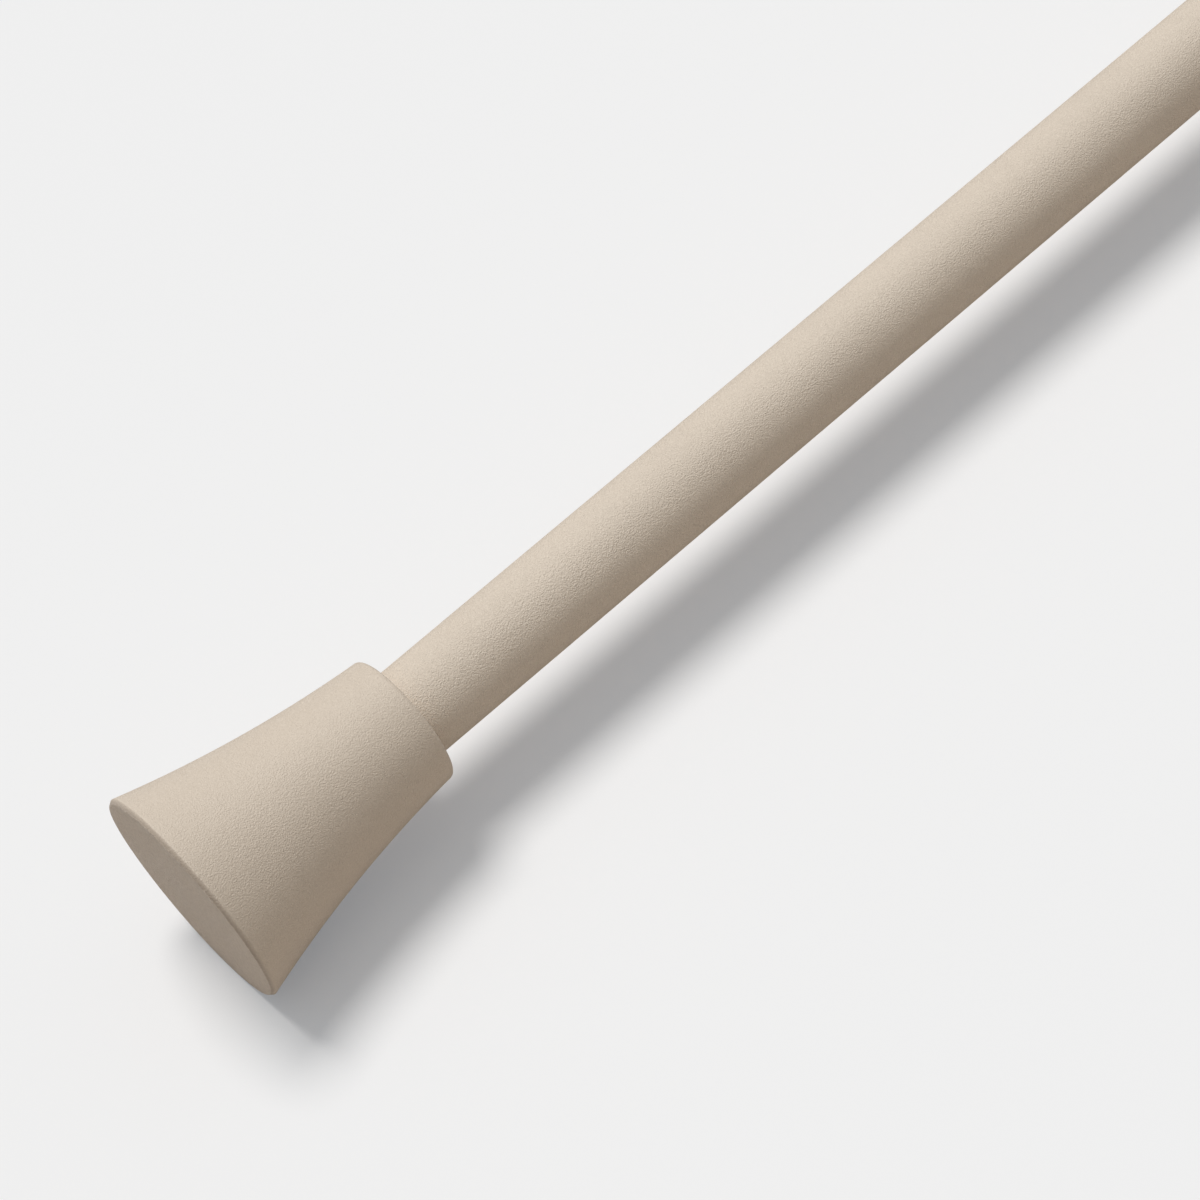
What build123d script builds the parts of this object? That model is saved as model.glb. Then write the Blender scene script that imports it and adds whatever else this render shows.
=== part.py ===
"""Extendable curtain rod: two telescoping tubes with a trumpet finial on each end."""

import os

from build123d import *

os.makedirs("parts", exist_ok=True)

# Tubes, in millimetres; the thick tube's diameter follows from the thin one and the bush between them
inner_tube_diameter = 16.0
inner_tube_wall = 0.8
outer_tube_wall = 0.8
outer_tube_length = 615.5
tube_edge_break = 0.2

# How far the thin tube is drawn out, measured from the closed rod
rest_extension = 150.0
spare_length = 75.6
closed_gap = 0.3
stop_gap = 0.5

# Guide bush in the mouth of the thick tube
bush_wall = 1.05
bush_length = 30.0
bush_flange = 2.0
bush_flange_bevel = 0.7
bush_slit_length = 18.0
bush_slit_width = 1.6
bush_slit_count = 4
bush_lead_in = 0.4

# Spool plugged into the hidden end of the thin tube
spool_shank_length = 18.0
spool_shank_wall = 1.6
spool_flange = 1.5
spool_groove_depth = 0.65
spool_slit_width = 2.0
spool_slit_length = 12.0
spool_edge_break = 0.3

# Split friction ring that rides in the spool's groove
ring_width = 6.0
ring_slit_width = 2.0
ring_edge_break = 0.6

# Finial, measured to its sharp corners before the edges are broken
finial_length = 55.5
flare_height = 10.1
flare_sagitta = 1.5
face_edge_bevel = 0.9
collar_wall = 4.5
collar_edge_radius = 1.1
socket_depth = 30.0
socket_point_length = 6.0
socket_lead_in = 0.6

# Reducing sleeve that lets the same finial fit the thin tube
sleeve_flange = 1.2
sleeve_flange_width = 1.2
sleeve_flange_bevel = 0.4
sleeve_slit_width = 1.5

# Set screw with a hexagon socket and a cup point
screw_diameter = 4.0
screw_length = 4.0
screw_from_collar = 10.0
screw_socket_across_flats = 2.0
screw_socket_depth = 1.8
screw_cup_diameter = 2.0
screw_cup_depth = 0.7
screw_edge_break = 0.4

# Clearances, on the radius or on the side that they name
slide_clearance = 0.1
press_clearance = 0.05
groove_clearance = 0.2
flange_clearance = 0.4
socket_clearance = 0.15
sleeve_clearance = 0.1
thread_clearance = 0.05
point_clearance = 0.05

# Radii that follow, from the middle outwards
inner_tube_radius = inner_tube_diameter / 2
inner_bore_radius = inner_tube_radius - inner_tube_wall
bush_bore_radius = inner_tube_radius + slide_clearance
bush_radius = bush_bore_radius + bush_wall
outer_bore_radius = bush_radius + press_clearance
outer_tube_radius = outer_bore_radius + outer_tube_wall
socket_radius = outer_tube_radius + socket_clearance
collar_radius = socket_radius + collar_wall
face_radius = collar_radius + flare_height
shank_radius = inner_bore_radius - press_clearance
groove_radius = shank_radius - spool_groove_depth
spool_flange_radius = outer_bore_radius - flange_clearance
ring_radius = outer_bore_radius - press_clearance
ring_bore_radius = groove_radius + groove_clearance
sleeve_radius = outer_tube_radius
sleeve_bore_radius = inner_tube_radius + sleeve_clearance
sleeve_flange_radius = sleeve_radius + sleeve_flange_width
screw_radius = screw_diameter / 2
collar_round = min(collar_edge_radius, collar_wall - 2 * socket_lead_in)

# Places along the rod, X, with the origin halfway between the two end faces
groove_width = ring_width + 2 * groove_clearance
spool_head_length = 2 * spool_flange + groove_width
travel = outer_tube_length - bush_length - stop_gap - spare_length - spool_head_length
bare_outer_length = outer_tube_length - socket_depth
bare_inner_length = bush_flange + closed_gap + sleeve_flange + rest_extension
rest_length = 2 * finial_length + bare_outer_length + bare_inner_length
left_face = -rest_length / 2
left_collar = left_face + finial_length
outer_tube_start = left_collar - socket_depth
mouth = outer_tube_start + outer_tube_length
right_collar = mouth + bare_inner_length
right_face = right_collar + finial_length
inner_tube_stop = right_collar + socket_depth
inner_tube_start = mouth - bush_length - stop_gap - (travel - rest_extension)
inner_tube_length = inner_tube_stop - inner_tube_start
spool_start = inner_tube_start - spool_head_length

# Frames of the two ends: local X runs inwards from the finial's face, local Y is the radius
left_end = Plane(origin=(left_face, 0, 0), x_dir=(1, 0, 0), z_dir=(0, 0, 1))
right_end = Plane(origin=(right_face, 0, 0), x_dir=(-1, 0, 0), z_dir=(0, 0, 1))


def underside(x, height=0.0):
    """A plane that faces down, under the rod's axis at x."""
    return Plane(origin=(x, 0, -height), x_dir=(1, 0, 0), z_dir=(0, 0, -1))


def draw_tube(start, length, radius, bore_radius):
    with BuildPart() as tube:
        with BuildSketch(Plane.YZ.offset(start)):
            Circle(radius)
            Circle(bore_radius, mode=Mode.SUBTRACT)
        extrude(amount=length)
        chamfer(tube.edges().filter_by(GeomType.CIRCLE), tube_edge_break)
    return tube


def turn_finial(end, screw_x):
    """A turned trumpet: flat face, hollow-curved flare, collar, blind socket with a drill point."""
    socket_floor = finial_length - socket_depth
    with BuildPart() as finial:
        with BuildSketch(end) as profile:
            with BuildLine():
                Line((0, 0), (0, face_radius))
                flare = SagittaArc((0, face_radius), (finial_length, collar_radius), -flare_sagitta)
                Polyline(
                    flare @ 1,
                    (finial_length, socket_radius),
                    (socket_floor, socket_radius),
                    (socket_floor - socket_point_length, 0),
                    (0, 0),
                )
            make_face()
            chamfer(profile.vertices().sort_by(Axis.Y)[-1], face_edge_bevel)
            chamfer(profile.vertices().group_by(Axis.X)[-1].sort_by(Axis.Y)[0], socket_lead_in)
            fillet(profile.vertices().group_by(Axis.X)[-1].sort_by(Axis.Y)[-1], collar_round)
        revolve(axis=Axis.X)
        with BuildSketch(underside(screw_x)):
            Circle(screw_radius + thread_clearance)
        extrude(amount=face_radius, mode=Mode.SUBTRACT)
    return finial


def turn_set_screw(screw_x):
    """A headless screw whose cup point bears on what fills the finial's socket."""
    point = outer_tube_radius + point_clearance
    with BuildPart() as screw:
        with BuildSketch(underside(screw_x, point)):
            Circle(screw_radius)
        extrude(amount=screw_length)
        chamfer(screw.edges().filter_by(GeomType.CIRCLE), screw_edge_break)
        with BuildSketch(underside(screw_x, point + screw_length)):
            RegularPolygon(screw_socket_across_flats / 2, 6, major_radius=False)
        extrude(amount=-screw_socket_depth, mode=Mode.SUBTRACT)
        with BuildSketch(Plane(origin=(screw_x, 0, -point), x_dir=(1, 0, 0), z_dir=(0, 1, 0))):
            with BuildLine():
                Polyline((0, 0), (screw_cup_diameter / 2, 0), (0, screw_cup_depth), close=True)
            make_face()
        revolve(axis=Axis((screw_x, 0, 0), (0, 0, 1)), mode=Mode.SUBTRACT)
    return screw


# Thick tube, the fixed half of the rod
outer_tube = draw_tube(outer_tube_start, outer_tube_length, outer_tube_radius, outer_bore_radius)
outer_tube.part.label = "outer_tube"
export_step(outer_tube.part, "parts/outer_tube.step")

# Thin tube, which slides in the thick one
inner_tube = draw_tube(inner_tube_start, inner_tube_length, inner_tube_radius, inner_bore_radius)
inner_tube.part.label = "inner_tube"
export_step(inner_tube.part, "parts/inner_tube.step")

# Guide bush: its flange covers the thick tube's cut edge and its four fingers hold the thin tube
with BuildPart() as mouth_bush:
    with BuildSketch(Plane.XY) as bush_profile:
        with BuildLine():
            Polyline(
                (mouth - bush_length, bush_bore_radius),
                (mouth - bush_length, bush_radius),
                (mouth, bush_radius),
                (mouth, outer_tube_radius),
                (mouth + bush_flange, outer_tube_radius),
                (mouth + bush_flange, bush_bore_radius),
                close=True,
            )
        make_face()
        chamfer(bush_profile.vertices().group_by(Axis.X)[-1].sort_by(Axis.Y)[-1], bush_flange_bevel)
        chamfer(bush_profile.vertices().group_by(Axis.X)[-1].sort_by(Axis.Y)[0], bush_lead_in)
    revolve(axis=Axis.X)
    with BuildSketch(Plane.YZ.offset(mouth - bush_length)):
        with PolarLocations(bush_radius, bush_slit_count):
            Rectangle(4 * bush_wall, bush_slit_width)
    extrude(amount=bush_slit_length, mode=Mode.SUBTRACT)
mouth_bush.part.label = "mouth_bush"
export_step(mouth_bush.part, "parts/mouth_bush.step")

# Spool: a slit hollow shank pressed into the thin tube, two flanges, and a groove between them
with BuildPart() as glide_spool:
    shank_stop = inner_tube_start + spool_shank_length
    groove_stop = inner_tube_start - spool_flange
    groove_start = groove_stop - groove_width
    with BuildSketch(Plane.XY) as spool_profile:
        with BuildLine():
            Polyline(
                (spool_start, shank_radius - spool_shank_wall),
                (spool_start, spool_flange_radius),
                (groove_start, spool_flange_radius),
                (groove_start, groove_radius),
                (groove_stop, groove_radius),
                (groove_stop, spool_flange_radius),
                (inner_tube_start, spool_flange_radius),
                (inner_tube_start, shank_radius),
                (shank_stop, shank_radius),
                (shank_stop, shank_radius - spool_shank_wall),
                close=True,
            )
        make_face()
        chamfer(spool_profile.vertices().group_by(Axis.X)[0].sort_by(Axis.Y)[-1], spool_edge_break)
        chamfer(spool_profile.vertices().group_by(Axis.X)[-1].sort_by(Axis.Y)[-1], spool_edge_break)
    revolve(axis=Axis.X)
    with BuildSketch(Plane.YZ.offset(shank_stop)):
        Rectangle(2 * outer_bore_radius, spool_slit_width)
        Rectangle(spool_slit_width, 2 * outer_bore_radius)
    extrude(amount=-spool_slit_length, mode=Mode.SUBTRACT)
glide_spool.part.label = "glide_spool"
export_step(glide_spool.part, "parts/glide_spool.step")

# Split friction ring: it drags on the thick tube's bore and turns freely in the spool's groove
with BuildPart() as friction_ring:
    ring_start = groove_start + groove_clearance
    with BuildSketch(Plane.YZ.offset(ring_start)):
        Circle(ring_radius)
        Circle(ring_bore_radius, mode=Mode.SUBTRACT)
    extrude(amount=ring_width)
    chamfer(friction_ring.edges().filter_by(GeomType.CIRCLE).group_by(SortBy.RADIUS)[-1], ring_edge_break)
    with BuildSketch(Plane.XY):
        with Locations((ring_start + ring_width / 2, 0)):
            Rectangle(2 * ring_width, ring_slit_width)
    extrude(amount=2 * ring_radius, mode=Mode.SUBTRACT)
friction_ring.part.label = "friction_ring"
export_step(friction_ring.part, "parts/friction_ring.step")

# Reducing sleeve: split along the top, with a flange that stops on the collar's end
with BuildPart() as reducer_sleeve:
    with BuildSketch(Plane.XY) as sleeve_profile:
        with BuildLine():
            Polyline(
                (right_collar - sleeve_flange, sleeve_bore_radius),
                (right_collar - sleeve_flange, sleeve_flange_radius),
                (right_collar, sleeve_flange_radius),
                (right_collar, sleeve_radius),
                (inner_tube_stop, sleeve_radius),
                (inner_tube_stop, sleeve_bore_radius),
                close=True,
            )
        make_face()
        chamfer(sleeve_profile.vertices().group_by(Axis.X)[0].sort_by(Axis.Y)[-1], sleeve_flange_bevel)
    revolve(axis=Axis.X)
    with BuildSketch(Plane.XY):
        with Locations(((right_collar + inner_tube_stop) / 2, 0)):
            Rectangle(2 * socket_depth, sleeve_slit_width)
    extrude(amount=2 * sleeve_flange_radius, mode=Mode.SUBTRACT)
reducer_sleeve.part.label = "reducer_sleeve"
export_step(reducer_sleeve.part, "parts/reducer_sleeve.step")

# A finial and its set screw on each end
left_screw_x = left_collar - screw_from_collar
right_screw_x = right_collar + screw_from_collar
for side, end, screw_x in (("left", left_end, left_screw_x), ("right", right_end, right_screw_x)):
    finial = turn_finial(end, screw_x)
    finial.part.label = f"finial_{side}"
    export_step(finial.part, f"parts/finial_{side}.step")
    set_screw = turn_set_screw(screw_x)
    set_screw.part.label = f"set_screw_{side}"
    export_step(set_screw.part, f"parts/set_screw_{side}.step")
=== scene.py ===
import math

import bmesh
import bpy
from mathutils import Matrix, Quaternion, Vector


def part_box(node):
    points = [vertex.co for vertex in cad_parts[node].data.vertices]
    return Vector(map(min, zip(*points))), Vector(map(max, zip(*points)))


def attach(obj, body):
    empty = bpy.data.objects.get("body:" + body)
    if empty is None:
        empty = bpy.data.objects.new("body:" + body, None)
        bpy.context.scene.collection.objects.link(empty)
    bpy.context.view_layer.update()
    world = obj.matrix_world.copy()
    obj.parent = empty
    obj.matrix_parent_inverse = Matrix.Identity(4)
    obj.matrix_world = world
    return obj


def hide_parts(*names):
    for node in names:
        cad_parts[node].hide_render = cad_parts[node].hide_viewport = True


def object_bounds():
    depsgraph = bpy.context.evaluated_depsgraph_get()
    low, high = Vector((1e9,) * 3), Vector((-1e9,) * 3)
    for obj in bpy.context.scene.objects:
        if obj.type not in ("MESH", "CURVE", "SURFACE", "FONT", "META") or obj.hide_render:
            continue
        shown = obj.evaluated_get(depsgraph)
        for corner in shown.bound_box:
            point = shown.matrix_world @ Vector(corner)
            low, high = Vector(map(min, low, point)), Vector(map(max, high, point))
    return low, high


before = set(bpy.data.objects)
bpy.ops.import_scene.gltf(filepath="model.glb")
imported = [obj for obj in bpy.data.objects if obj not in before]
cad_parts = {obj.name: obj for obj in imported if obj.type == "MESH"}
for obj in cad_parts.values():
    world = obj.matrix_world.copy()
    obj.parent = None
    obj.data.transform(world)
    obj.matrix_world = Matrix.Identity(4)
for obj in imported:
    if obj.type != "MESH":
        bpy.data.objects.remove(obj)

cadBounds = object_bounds()
mm = 0.001
print("frame loaded:", ", ".join(sorted(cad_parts)))


# shader maths

class Wire:  # one socket of a node tree, with arithmetic that adds Math nodes
    def __init__(self, tree, socket=None):
        self.tree = tree
        self.socket = socket

    def add(self, kind, settings=None, sockets=None, out=0):  # any node: settings first, then sockets
        made = self.tree.nodes.new(kind)
        for key, value in (settings or {}).items():
            setattr(made, key, value)
        for key, value in (sockets or {}).items():
            if isinstance(value, Wire):
                self.tree.links.new(value.socket, made.inputs[key])
            else:
                made.inputs[key].default_value = value
        return Wire(self.tree, made.outputs[out] if made.outputs else None)

    def output(self, name):  # another output of the same node
        return Wire(self.tree, self.socket.node.outputs[name])

    def maths(self, operation, a, b=0.0, clamp=False):
        return self.add("ShaderNodeMath", {"operation": operation, "use_clamp": clamp}, {0: a, 1: b})

    def mixColour(self, factor, a, b):
        return self.add("ShaderNodeMix", {"data_type": "RGBA"}, {0: factor, 6: a, 7: b}, out=2)

    def __add__(self, other):
        return self.maths("ADD", self, other)

    def __sub__(self, other):
        return self.maths("SUBTRACT", self, other)

    def __rsub__(self, other):
        return self.maths("SUBTRACT", other, self)

    def __mul__(self, other):
        return self.maths("MULTIPLY", self, other)

    __radd__ = __add__
    __rmul__ = __mul__


def newMaterial(name):
    material = bpy.data.materials.new(name)
    material.use_nodes = True
    material.node_tree.nodes.clear()
    return material, Wire(material.node_tree)


def restPlace(wire):  # where a point lies in the rod at rest
    return wire.add("ShaderNodeTexCoord", out=3)


def noise(place, scale, detail, seed=None, roughness=0.5):
    sockets = {"Vector": place, "Scale": scale, "Detail": detail, "Roughness": roughness}
    if seed is None:
        return place.add("ShaderNodeTexNoise", {}, sockets)
    return place.add("ShaderNodeTexNoise", {"noise_dimensions": "4D"}, {**sockets, "W": seed})


def ramp(value, start, width):  # 0 up to start, then a straight rise to 1
    return value.maths("MULTIPLY", value - start, 1 / width, clamp=True)


def around(value, spread):  # a noise as a shift to both sides of zero
    return (value - 0.5) * spread


def shaded(colour, share):  # the same colour, darker
    return tuple(part * share for part in colour[:3]) + (1.0,)


# powder coat on tubes and finials

coatLook = {
    "colour": (0.585, 0.494, 0.396, 1.0),
    "paleColour": (0.840, 0.733, 0.608, 1.0),
    "grain": 0.31 * mm,          # width of one bump in the textured coat
    "grainHeight": 0.38 * mm,
    "fineGrain": 0.15 * mm,
    "fineShare": 0.2,
    "paintedGrainLight": 0.45,               # painted light and shade on the grain: its tops paler, its pits darker
    "speckFrom": 0.36,
    "speckRise": 0.3125,
    "cloudScale": 60.0,          # slow change over the surface
    "cloudPale": 0.3,
    "paleness": 0.10,
    "roughness": 0.60,
    "cloudRough": 0.12,
    "fineRough": 0.10,
    "gloss": 1.60,
    "bloom": 0.18,
    "bloomSpread": 0.5,
    "shadeAndSpeckleColour": (0.330, 0.262, 0.200, 1.0),   # painted shade on a finial's rim bevel and end face, and the dark of the face's speckle
    "paintedRimShade": 0.60,
    "faceGrain": 0.70 * mm,      # size of the end face's speckled grain; the face is also darkened with painted shade
    "paintedFaceShade": 0.09,
    "faceSpeck": 0.32,
    "speckleBelow": 0.65,
    "speckleGain": 3.3,
}
# the finial's copy of the coat is darker through its paleness, as painted shade, and its grain is
# lower
finialLook = {**coatLook, "grainHeight": 0.26 * mm, "paintedGrainLight": 0.35, "paleness": -0.07}

rodEnd = {
    "face": cadBounds[1].x,
    "faceDepth": 0.4 * mm,       # the painted shade on the end face ends this far in
    "faceFade": 0.3 * mm,
    "rimRadius": 23.75 * mm,     # the painted shade on the bevel round the face starts here
    "rimFade": 0.25 * mm,
    "rimDepth": 1.0 * mm,
    "rimDepthFade": 0.6 * mm,
}


def fromMiddle(place):  # distance along the rod from its middle
    return place.maths("ABSOLUTE", place.add("ShaderNodeSeparateXYZ", {}, {0: place}))


def rimShadeMask(place):  # 1 on the bevel round a finial's face, fading on to the flare: where the painted shade goes
    across = place.add("ShaderNodeVectorMath", {"operation": "MULTIPLY"}, {0: place, 1: (0, 1, 1)})
    radius = place.add("ShaderNodeVectorMath", {"operation": "LENGTH"}, {0: across}, out=1)
    nearEnd = ramp(fromMiddle(place), rodEnd["face"] - rodEnd["rimDepth"], rodEnd["rimDepthFade"])
    return ramp(radius, rodEnd["rimRadius"], rodEnd["rimFade"]) * nearEnd


def faceMask(place):  # 1 on the flat end face of a finial
    return ramp(fromMiddle(place), rodEnd["face"] - rodEnd["faceDepth"], rodEnd["faceFade"])


def powderCoat(name, look, seed):
    material, wire = newMaterial(name)
    material.cycles.use_bump_map_correction = False  # keeps the grain crisp where the light rakes it
    place = restPlace(wire)
    grain = noise(place, 1 / look["grain"], detail=1.5, seed=seed, roughness=0.45)
    fine = noise(place, 1 / look["fineGrain"], detail=1.0, seed=seed + 3.0)
    cloud = noise(place, look["cloudScale"], detail=2.0, seed=seed + 7.0)
    height = grain * (1 - look["fineShare"]) + fine * look["fineShare"]
    # painted light on the grain's tops and painted shade in its pits, from the bump's height
    paintedGrainLight = ramp(height, look["speckFrom"], look["speckRise"])
    pale = paintedGrainLight * look["paintedGrainLight"] + cloud * look["cloudPale"] + look["paleness"]
    colour = wire.mixColour(pale, look["colour"], look["paleColour"])
    spray = noise(place, 1 / look["faceGrain"], detail=2.0)
    faceSpeckle = wire.maths("MULTIPLY", look["speckleBelow"] - spray, look["speckleGain"], clamp=True)
    # the end face is darkened with painted shade and speckled by its grain
    faceShadeAndSpeckle = faceMask(place) * (look["paintedFaceShade"] + faceSpeckle * look["faceSpeck"])
    # painted shade on the rim bevel and on the end face, with the face's speckled grain
    thin = rimShadeMask(place) * look["paintedRimShade"] + faceShadeAndSpeckle
    colour = wire.mixColour(thin, colour, look["shadeAndSpeckleColour"])
    bump = wire.add("ShaderNodeBump", {},
                    {"Strength": 1.0, "Distance": look["grainHeight"], "Height": height})
    rough = look["roughness"] + around(cloud, look["cloudRough"]) + around(fine, look["fineRough"])
    skin = wire.add("ShaderNodeBsdfPrincipled", {},
                    {"Base Color": colour, "Roughness": rough, "Normal": bump, "IOR": look["gloss"],
                     "Sheen Weight": look["bloom"], "Sheen Roughness": look["bloomSpread"]})
    wire.add("ShaderNodeOutputMaterial", {}, {"Surface": skin})
    return material


# moulded nylon on bush, sleeve, spool and ring

nylonLook = {
    "beige": (0.580, 0.490, 0.395, 1.0),
    "natural": (0.760, 0.735, 0.660, 1.0),
    "deepen": 0.86,              # the darkest flow mark against the colour
    "flowScale": 110.0,
    "spark": 0.35 * mm,          # eroded texture of the mould
    "sparkShare": 0.4,
    "sparkHeight": 0.008 * mm,
    "roughness": 0.46,
    "flowRough": 0.16,
}


def mouldedNylon(name, colour, look):
    material, wire = newMaterial(name)
    place = restPlace(wire)
    spark = noise(place, 1 / look["spark"], detail=2.0)
    flow = noise(place, look["flowScale"], detail=1.0)
    marks = flow * (1 - look["sparkShare"]) + spark * look["sparkShare"]
    tone = wire.mixColour(marks, shaded(colour, look["deepen"]), colour)
    bump = wire.add("ShaderNodeBump", {},
                    {"Strength": 1.0, "Distance": look["sparkHeight"], "Height": spark})
    rough = look["roughness"] + around(flow, look["flowRough"])
    skin = wire.add("ShaderNodeBsdfPrincipled", {},
                    {"Base Color": tone, "Roughness": rough, "Normal": bump})
    wire.add("ShaderNodeOutputMaterial", {}, {"Surface": skin})
    return material


# zinc plate on the set screws

platingLook = {
    "bright": (0.640, 0.635, 0.610, 1.0),
    "dull": (0.480, 0.480, 0.470, 1.0),
    "bloomScale": 900.0,
    "pitScale": 5200.0,
    "pitHeight": 0.006 * mm,
    "pitStrength": 0.6,
    "roughness": 0.30,
    "bloomRough": 0.22,
}


def platedSteel(name, look):
    material, wire = newMaterial(name)
    place = restPlace(wire)
    bloom = noise(place, look["bloomScale"], detail=3.0)
    pit = noise(place, look["pitScale"], detail=1.0)
    tone = wire.mixColour(bloom, look["dull"], look["bright"])
    bump = wire.add("ShaderNodeBump", {},
                    {"Strength": look["pitStrength"], "Distance": look["pitHeight"], "Height": pit})
    rough = look["roughness"] + around(bloom, look["bloomRough"])
    skin = wire.add("ShaderNodeBsdfPrincipled", {},
                    {"Base Color": tone, "Metallic": 1.0, "Roughness": rough, "Normal": bump})
    wire.add("ShaderNodeOutputMaterial", {}, {"Surface": skin})
    return material


tubeCoat = powderCoat("tubeCoat", coatLook, 0.0)
finialCoat = powderCoat("finialCoat", finialLook, 11.0)
beigeNylon = mouldedNylon("beigeNylon", nylonLook["beige"], nylonLook)
naturalNylon = mouldedNylon("naturalNylon", nylonLook["natural"], nylonLook)
zincPlate = platedSteel("zincPlate", platingLook)
print("finishes made")


# mesh tools: every round piece is a profile of (x, radius) points turned about the rod's axis

meshing = {
    "onAxis": 0.0001 * mm,       # a radius under this is a point on the axis
    "sliver": 0.002 * mm,        # what a cut leaves smaller than this is welded
    "sharpAngle": 32,
}


def roundCorner(before, corner, after, radius, steps=10):  # points of the arc that rounds a corner
    before, corner, after = Vector(before), Vector(corner), Vector(after)
    inward = (before - corner).normalized()
    onward = (after - corner).normalized()
    half = inward.angle(onward) / 2
    centre = corner + (inward + onward).normalized() * radius / math.sin(half)
    start = corner + inward * radius / math.tan(half) - centre
    sweep = start.angle_signed(corner + onward * radius / math.tan(half) - centre)
    turns = [Matrix.Rotation(-sweep * step / steps, 2) for step in range(steps + 1)]
    return [tuple(centre + turned @ start) for turned in turns]


def sagArc(start, end, sag, steps):  # a shallow arc that dips by sag towards the axis
    start, end = Vector(start), Vector(end)
    chord = end - start
    across = Vector((chord.y, -chord.x)).normalized()
    radius = (chord.length_squared / 4 + sag * sag) / (2 * sag)
    points = []
    for step in range(steps + 1):
        along = step / steps - 0.5
        dip = math.sqrt(radius ** 2 - (along * chord.length) ** 2) - (radius - sag)
        points.append(tuple(start + chord * (along + 0.5) + across * dip))
    return points


def compass(steps):  # cosine and sine of each step of a full turn
    angles = [2 * math.pi * step / steps for step in range(steps)]
    return [(math.cos(angle), math.sin(angle)) for angle in angles]


def bridge(shape, ring, nextRing):  # a band of faces between two rings, one of which may be a point
    for step in range(len(ring)):
        after = (step + 1) % len(ring)
        corners = [ring[step], ring[after], nextRing[after], nextRing[step]]
        shape.faces.new(list(dict.fromkeys(corners)))


def makeObject(name, shape, material=None):
    bmesh.ops.recalc_face_normals(shape, faces=shape.faces)
    mesh = bpy.data.meshes.new(name)
    shape.to_mesh(mesh)
    shape.free()
    if material:
        mesh.materials.append(material)
    piece = bpy.data.objects.new(name, mesh)
    bpy.context.scene.collection.objects.link(piece)
    return piece


def turn(name, profile, material, steps, closed=True):
    shape = bmesh.new()
    rings = []
    for x, radius in profile:
        if radius < meshing["onAxis"]:
            rings.append([shape.verts.new((x, 0, 0))] * steps)
        else:
            rings.append([shape.verts.new((x, radius * c, radius * s)) for c, s in compass(steps)])
    following = rings[1:] + rings[:1] if closed else rings[1:]
    for ring, nextRing in zip(rings, following):
        bridge(shape, ring, nextRing)
    return makeObject(name, shape, material)


def slab(centre, size):  # a box to cut with
    shape = bmesh.new()
    matrix = Matrix.Translation(centre) @ Matrix.Diagonal((*size, 1))
    bmesh.ops.create_cube(shape, size=1, matrix=matrix)
    return makeObject("slit", shape)


def cut(piece, cutter):  # takes the cutter's volume out of the piece
    trim = piece.modifiers.new("trim", "BOOLEAN")
    trim.object = cutter
    trim.operation = "DIFFERENCE"
    trim.solver = "EXACT"
    bpy.context.view_layer.update()
    done = piece.evaluated_get(bpy.context.evaluated_depsgraph_get())
    mesh = bpy.data.meshes.new_from_object(done)
    shape = bmesh.new()
    shape.from_mesh(mesh)
    bmesh.ops.remove_doubles(shape, verts=shape.verts, dist=meshing["sliver"])
    bmesh.ops.dissolve_degenerate(shape, edges=shape.edges, dist=meshing["sliver"])
    shape.to_mesh(mesh)
    shape.free()
    piece.modifiers.clear()
    piece.data = mesh
    bpy.data.objects.remove(cutter)


def finishPiece(piece, body, slotName, *nodes):
    piece.data.shade_smooth()
    piece.data.set_sharp_from_angle(angle=math.radians(meshing["sharpAngle"]))
    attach(piece, body)
    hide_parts(*nodes)


# tubes

tube = {
    "thick": 20 * mm,
    "thin": 16 * mm,
    "wall": 0.8 * mm,
    "edgeBreak": 0.2 * mm,
    "steps": 192,
    "bands": 24,
}


def drawTube(name, node, body, diameter):
    low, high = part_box(node)
    outside = diameter / 2
    inside = outside - tube["wall"]
    lip = tube["edgeBreak"]
    band = (high.x - low.x - 2 * lip) / tube["bands"]
    profile = [(low.x, outside - lip)]
    profile += [(low.x + lip + band * step, outside) for step in range(tube["bands"] + 1)]
    profile += [(high.x, outside - lip), (high.x, inside + lip), (high.x - lip, inside)]
    profile += [(low.x + lip, inside), (low.x, inside + lip)]
    piece = turn(name, profile, tubeCoat, tube["steps"])
    finishPiece(piece, body, "powder_coat", node)


drawTube("thickTube", "outer_tube", "thick_half", tube["thick"])
drawTube("thinTube", "inner_tube", "thin_half", tube["thin"])
print("tubes drawn")


# set screws: a headless M4 screw, and the same thread as a cutter for its hole

setScrew = {
    "outside": 1.97 * mm,
    "root": 1.62 * mm,
    "pitch": 0.7 * mm,
    "crest": 1.5,                # the thread's section rises to this, and is cut flat at 1 and 0
    "flank": 4.0,
    "holeEase": 0.07 * mm,       # room between the screw's thread and the hole's
    "bevel": 0.35 * mm,
    "acrossFlats": 2.0 * mm,
    "socketDepth": 1.8 * mm,
    "drillCone": 0.5,            # at the socket's end, as a share of its radius
    "cupRadius": 1.0 * mm,       # hollow in the point that bites the tube
    "cupDepth": 0.7 * mm,
    "socketStart": 1.0 * mm,     # the two cutters start this far outside the screw
    "cupStart": 0.2 * mm,
    "steps": 60,
    "layersPerTurn": 14,
}


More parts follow.
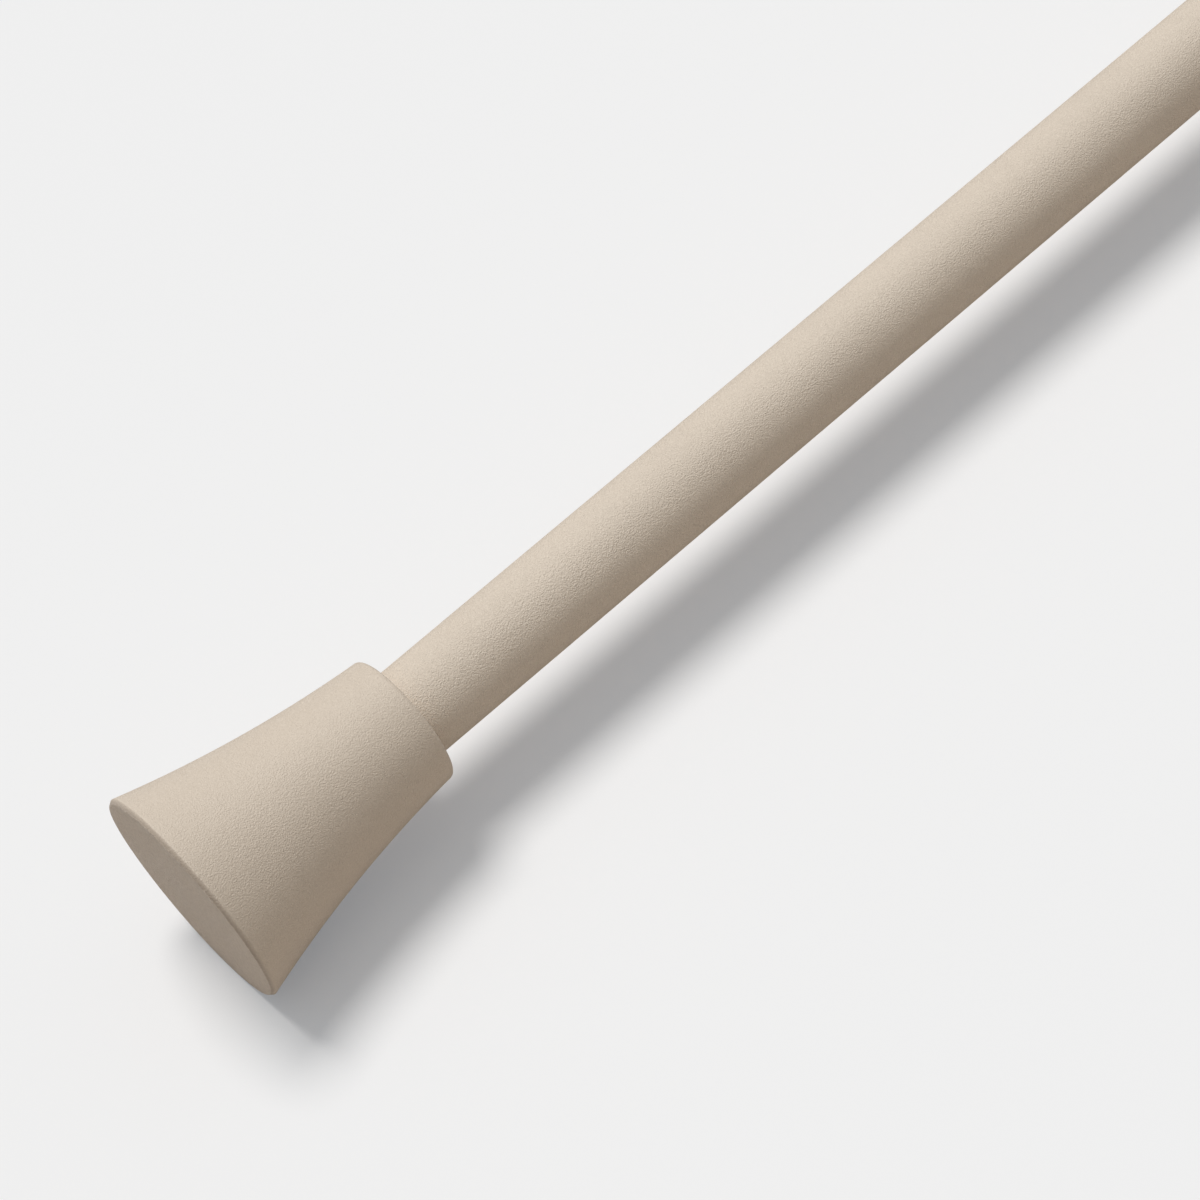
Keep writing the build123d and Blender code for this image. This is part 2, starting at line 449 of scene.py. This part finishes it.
def threadRod(name, x, top, bottom, ease, bevel):  # a threaded rod, upright at x
    layers = int((top - bottom) / setScrew["pitch"] * setScrew["layersPerTurn"])
    outside = setScrew["outside"] + ease
    root = setScrew["root"] + ease
    shape = bmesh.new()
    rings = []
    for layer in range(layers + 1):
        z = top + (bottom - top) * layer / layers
        edge = min(top - z, z - bottom)
        limit = min(outside, outside - bevel + edge) if bevel else outside
        ring = []
        for step, (c, s) in enumerate(compass(setScrew["steps"])):
            phase = (z / setScrew["pitch"] + step / setScrew["steps"]) % 1.0
            crest = min(1.0, max(0.0, setScrew["crest"] - abs(phase - 0.5) * setScrew["flank"]))
            radius = min(limit, root + (outside - root) * crest)
            ring.append(shape.verts.new((x + radius * c, radius * s, z)))
        rings.append(ring)
    for ring, nextRing in zip(rings, rings[1:]):
        bridge(shape, ring, nextRing)
    shape.faces.new(rings[0])
    shape.faces.new(rings[-1])
    return makeObject(name, shape, zincPlate)


def pointedCutter(name, x, sides, levels, tip):  # upright at x: levels of (z, radius), then a point
    shape = bmesh.new()
    rings = []
    for z, radius in levels:
        rings.append([shape.verts.new((x + radius * c, radius * s, z)) for c, s in compass(sides)])
    rings.append([shape.verts.new((x, 0, tip))] * sides)
    shape.faces.new(rings[0])
    for ring, nextRing in zip(rings, rings[1:]):
        bridge(shape, ring, nextRing)
    return makeObject(name, shape)


def keySocket(x, mouth):  # a hexagon with the drill's cone at its end
    radius = setScrew["acrossFlats"] / math.sqrt(3)
    floor = mouth + setScrew["socketDepth"]
    levels = [(mouth - setScrew["socketStart"], radius), (floor, radius)]
    return pointedCutter("keySocket", x, 6, levels, floor + radius * setScrew["drillCone"])


def cupPoint(x, point):
    slope = setScrew["cupRadius"] / setScrew["cupDepth"]
    wide = setScrew["cupRadius"] + setScrew["cupStart"] * slope
    levels = [(point + setScrew["cupStart"], wide)]
    return pointedCutter("cupPoint", x, setScrew["steps"], levels, point - setScrew["cupDepth"])


def makeSetScrew(name, node, body):
    low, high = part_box(node)
    x = (low.x + high.x) / 2
    piece = threadRod(name, x, high.z, low.z, 0, setScrew["bevel"])
    cut(piece, keySocket(x, low.z))
    cut(piece, cupPoint(x, high.z))
    finishPiece(piece, body, "plated_steel", node)


makeSetScrew("setScrewLeft", "set_screw_left", "thick_half")
makeSetScrew("setScrewRight", "set_screw_right", "thin_half")
print("set screws made")


# finials: a turned trumpet with a tapped hole under its collar

finial = {
    "faceRadius": 24.75 * mm,    # to the sharp corner, before the edge is bevelled
    "collarRadius": 14.65 * mm,
    "sag": 1.5 * mm,
    "faceBevel": 0.9 * mm,
    "bevelEase": 0.3 * mm,       # the coat rounds the bevel's two corners
    "collarEdge": 1.1 * mm,
    "socketRadius": 10.15 * mm,
    "socketDepth": 30 * mm,
    "socketPoint": 6 * mm,
    "socketLeadIn": 0.6 * mm,
    "tapFrom": -8 * mm,          # the hole's thread is cut between these levels
    "tapTo": -20 * mm,
    "steps": 240,
    "flareSteps": 60,
    "leanSteps": 4,              # steps along the flare that give its lean at an edge
    "rimSteps": 5,
    "faceRings": 12,
    "joinGap": 0.3 * mm,         # no point of the flare lies nearer to a rounded edge
}


def makeFinial(name, node, body, screwNode, inward):
    low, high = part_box(node)
    face = low.x if inward > 0 else high.x
    length = high.x - low.x
    wide = finial["faceRadius"]
    lean = finial["leanSteps"]
    flare = sagArc((0, wide), (length, finial["collarRadius"]), finial["sag"], finial["flareSteps"])

    corner = Vector(flare[0])
    rimFace = (0, wide - finial["faceBevel"])
    rimSide = tuple(corner + (Vector(flare[1]) - corner).normalized() * finial["faceBevel"])
    rim = roundCorner((0, 0), rimFace, rimSide, finial["bevelEase"], finial["rimSteps"])
    rim += roundCorner(rimFace, rimSide, flare[lean], finial["bevelEase"], finial["rimSteps"])
    collar = roundCorner(flare[-lean], flare[-1], (length, 0), finial["collarEdge"])

    sideStart = rim[-1][0] + finial["joinGap"]
    sideStop = collar[0][0] - finial["joinGap"]
    side = [point for point in flare if sideStart < point[0] < sideStop]
    flat = [(0, rim[0][1] * ring / finial["faceRings"]) for ring in range(finial["faceRings"])]
    floor = length - finial["socketDepth"]
    socket = finial["socketRadius"]
    hollow = [
        (length, socket + finial["socketLeadIn"]),
        (length - finial["socketLeadIn"], socket),
        (floor, socket),
        (floor - finial["socketPoint"], 0),
    ]
    profile = [(face + inward * x, radius) for x, radius in flat + rim + side + collar + hollow]
    piece = turn(name, profile, finialCoat, finial["steps"], closed=False)

    screwLow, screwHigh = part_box(screwNode)
    x = (screwLow.x + screwHigh.x) / 2
    cut(piece, threadRod("tap", x, finial["tapFrom"], finial["tapTo"], setScrew["holeEase"], 0))
    finishPiece(piece, body, "powder_coat", node)


makeFinial("finialLeft", "finial_left", "thick_half", "set_screw_left", 1)
makeFinial("finialRight", "finial_right", "thin_half", "set_screw_right", -1)
print("finials turned")


# nylon pieces: guide bush in the thick tube's mouth, reducing sleeve in the right finial

bush = {
    "body": 9.15 * mm,
    "bore": 8.1 * mm,
    "flange": 2.0 * mm,
    "flangeBevel": 0.7 * mm,
    "leadIn": 0.4 * mm,
    "slitWidth": 1.6 * mm,
    "slitLength": 18 * mm,
    "steps": 144,
}


def makeBush():
    low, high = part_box("mouth_bush")
    mouth = high.x - bush["flange"]
    rim = tube["thick"] / 2
    bevel = bush["flangeBevel"]
    profile = [(low.x, bush["bore"]), (low.x, bush["body"]), (mouth, bush["body"]), (mouth, rim)]
    profile += [(high.x - bevel, rim), (high.x, rim - bevel)]
    profile += [(high.x, bush["bore"] + bush["leadIn"]), (high.x - bush["leadIn"], bush["bore"])]
    piece = turn("mouthBush", profile, beigeNylon, bush["steps"])
    reach = 3 * bush["body"]  # right across
    for size in ((reach, bush["slitWidth"]), (bush["slitWidth"], reach)):
        cut(piece, slab((low.x, 0, 0), (2 * bush["slitLength"], *size)))
    finishPiece(piece, "thick_half", "beige_nylon", "mouth_bush")


sleeve = {
    "outside": 10.0 * mm,
    "bore": 8.1 * mm,
    "flange": 1.2 * mm,
    "flangeRadius": 11.2 * mm,
    "flangeBevel": 0.4 * mm,
    "slit": 1.5 * mm,
    "steps": 144,
}


def makeSleeve():
    low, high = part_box("reducer_sleeve")
    collar = low.x + sleeve["flange"]
    wide = sleeve["flangeRadius"]
    bevel = sleeve["flangeBevel"]
    profile = [(low.x, sleeve["bore"]), (low.x, wide - bevel), (low.x + bevel, wide), (collar, wide)]
    profile += [(collar, sleeve["outside"]), (high.x, sleeve["outside"]), (high.x, sleeve["bore"])]
    piece = turn("reducingSleeve", profile, beigeNylon, sleeve["steps"])
    top = ((low.x + high.x) / 2, 0, wide)
    cut(piece, slab(top, (2 * (high.x - low.x), sleeve["slit"], 2 * wide)))
    finishPiece(piece, "thin_half", "beige_nylon", "reducer_sleeve")


makeBush()
makeSleeve()
for node in ("glide_spool", "friction_ring"):  # inside the tubes, and right as they are
    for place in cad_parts[node].material_slots:
        place.material = naturalNylon
print("nylon pieces made")


# floor, light and camera

studio = {
    "backdrop": (0.868, 0.868, 0.868, 1.0),
    "floorColour": (0.703, 0.688, 0.670, 1.0),
    "floorGlow": (0.165, 0.180, 0.198, 1.0),    # has no shadow, and makes up the backdrop's level
    "floorBounce": (0.590, 0.510, 0.430, 1.0),  # what the floor throws back on to the rod
    "floorSize": 14.0,
    "floorGap": 0.03 * mm,       # under the rod
    "fibreScale": 900.0,
    "fibreShade": 0.996,
    "keyElevation": 70.8,
    "keySide": 76.0,             # seen from above, measured from the rod's axis
    "keyShare": 0.66,            # part of the floor's light that comes from the key
    "keyWidth": 27.0,            # degrees across, for soft shadow edges
    "skyHorizon": 0.07,
    "skyTop": 0.475,
}


def seenRay(wire):  # 1 on a ray that shows the stage: to the camera, in a gloss, or through glass
    paths = wire.add("ShaderNodeLightPath")
    direct = wire.maths("MAXIMUM", paths, paths.output("Is Glossy Ray"))
    return wire.maths("MAXIMUM", direct, paths.output("Is Transmission Ray"))


def layFloor():
    material, wire = newMaterial("paper")
    fibre = noise(restPlace(wire), studio["fibreScale"], detail=2.0)
    darker = shaded(studio["floorColour"], studio["fibreShade"])
    seenTone = wire.mixColour(fibre, darker, studio["floorColour"])
    paper = wire.add("ShaderNodeBsdfDiffuse", {}, {"Color": studio["floorBounce"]})
    seenPaper = wire.add("ShaderNodeBsdfDiffuse", {}, {"Color": seenTone})
    glow = wire.add("ShaderNodeEmission", {}, {"Color": studio["floorGlow"], "Strength": 1.0})
    seen = wire.add("ShaderNodeAddShader", {}, {0: seenPaper, 1: glow})
    skin = wire.add("ShaderNodeMixShader", {}, {0: seenRay(wire), 1: paper, 2: seen})
    wire.add("ShaderNodeOutputMaterial", {}, {"Surface": skin})
    half = studio["floorSize"] / 2
    z = cadBounds[0].z - studio["floorGap"]
    corners = [(-half, -half, z), (half, -half, z), (half, half, z), (-half, half, z)]
    mesh = bpy.data.meshes.new("floor")
    mesh.from_pydata(corners, [], [(0, 1, 2, 3)])
    mesh.materials.append(material)
    floor = bpy.data.objects.new("floor", mesh)
    bpy.context.scene.collection.objects.link(floor)


def lightStudio():
    rise = math.radians(studio["keyElevation"])
    side = math.radians(studio["keySide"])
    level = Vector((math.cos(side), math.sin(side), 0))
    toKey = level * math.cos(rise) + Vector((0, 0, math.sin(rise)))
    lamp = bpy.data.lights.new("key", "SUN")
    lamp.energy = studio["keyShare"] * math.pi / math.sin(rise)
    lamp.angle = math.radians(studio["keyWidth"])
    key = bpy.data.objects.new("key", lamp)
    key.rotation_mode = "QUATERNION"
    key.rotation_quaternion = toKey.to_track_quat("Z", "Y")
    bpy.context.scene.collection.objects.link(key)

    world = bpy.data.worlds.new("studio")
    world.use_nodes = True
    world.node_tree.nodes.clear()
    bpy.context.scene.world = world
    wire = Wire(world.node_tree)
    direction = wire.add("ShaderNodeTexCoord")
    height = wire.add("ShaderNodeSeparateXYZ", {}, {0: direction}, out=2)
    rising = wire.maths("MAXIMUM", height, 0.0)
    sky = studio["skyHorizon"] + (studio["skyTop"] - studio["skyHorizon"]) * rising
    air = wire.add("ShaderNodeBackground", {}, {"Color": (1, 1, 1, 1), "Strength": sky})
    backdrop = wire.add("ShaderNodeBackground", {}, {"Color": studio["backdrop"], "Strength": 1.0})
    seen = wire.add("ShaderNodeMixShader", {}, {0: seenRay(wire), 1: air, 2: backdrop})
    wire.add("ShaderNodeOutputWorld", {}, {"Surface": seen})


view = {
    "yaw": 23.37,                # turn of the camera from square on to the rod, seen from above
    "elevation": 46.10,
    "roll": 22.98,               # the picture is turned, so that the rod runs steeply up
    "aimFromEnd": 99.84 * mm,    # where the lens axis meets the level of the rod's axis
    "aimAside": -9.34 * mm,
    "distance": 666.4 * mm,
    "lens": 100.44,
    "sensor": 36.0,
    "nearest": 0.01,
    "farthest": 50.0,
}


def placeCamera():
    yaw = math.radians(view["yaw"])
    rise = math.radians(view["elevation"])
    away = Vector((math.sin(yaw), math.cos(yaw), 0))
    back = Vector((0, 0, math.sin(rise))) - away * math.cos(rise)
    aim = Vector((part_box("finial_left")[0].x + view["aimFromEnd"], view["aimAside"], 0))
    data = bpy.data.cameras.new("camera")
    data.sensor_width = view["sensor"]
    data.lens = view["lens"]
    data.clip_start = view["nearest"]
    data.clip_end = view["farthest"]
    camera = bpy.data.objects.new("camera", data)
    camera.location = aim + back * view["distance"]
    camera.rotation_mode = "QUATERNION"
    level = (-back).to_track_quat("-Z", "Y")
    camera.rotation_quaternion = Quaternion(back, math.radians(-view["roll"])) @ level
    bpy.context.scene.collection.objects.link(camera)
    bpy.context.scene.camera = camera


layFloor()
lightStudio()
placeCamera()
bpy.context.scene.view_settings.view_transform = "Standard"
print("stage set")
